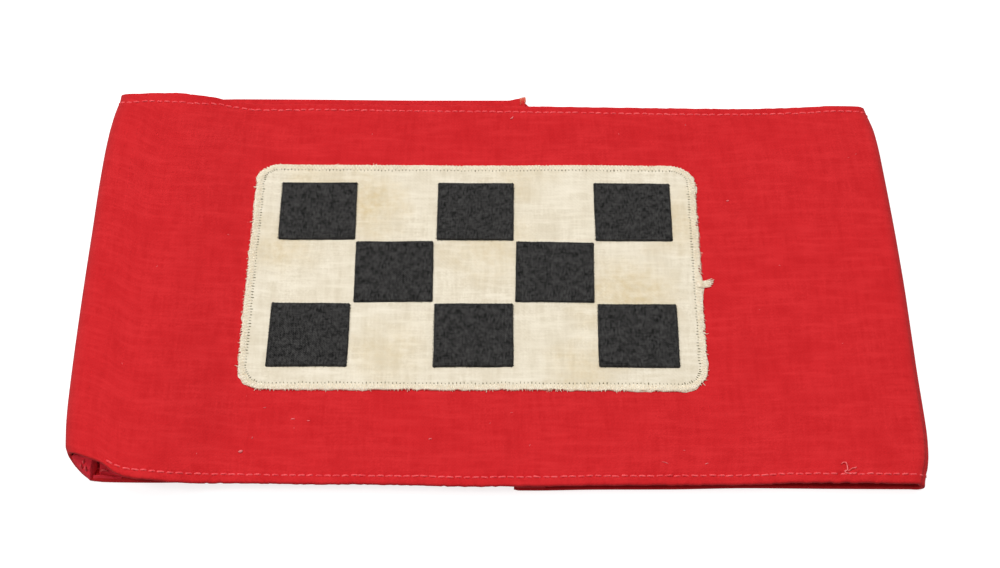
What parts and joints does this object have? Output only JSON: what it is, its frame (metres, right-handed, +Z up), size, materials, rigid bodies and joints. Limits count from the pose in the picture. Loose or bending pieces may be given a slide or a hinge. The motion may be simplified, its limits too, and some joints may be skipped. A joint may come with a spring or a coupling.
{
  "type": "armband",
  "caption": "Cotton armband laid flat: a hemmed strip sewn into a loop, with a cream panel and dark chequer squares sewn on its front.",
  "frame": {"origin": "on the surface that the band lies on, under the middle of its bounding box", "axes": "+X along the laid band from fold to fold, +Y across it from the near hem to the far hem, +Z up, out of the front with the panel"},
  "size_m": [0.1936, 0.1208, 0.0074],
  "materials": {
    "red_cotton": "plain-woven cotton, matt, lightly creased",
    "cream_cotton": "plain-woven cotton, matt, with faint yellow-brown stains",
    "black_twill": "fine cotton twill, matt"
  },
  "bodies": {
    "root": {"band": "red_cotton", "panel": "cream_cotton", "check_square_1": "black_twill", "check_square_2": "black_twill", "check_square_3": "black_twill", "check_square_4": "black_twill", "check_square_5": "black_twill", "check_square_6": "black_twill", "check_square_7": "black_twill", "check_square_8": "black_twill"}
  },
  "joints": []
}
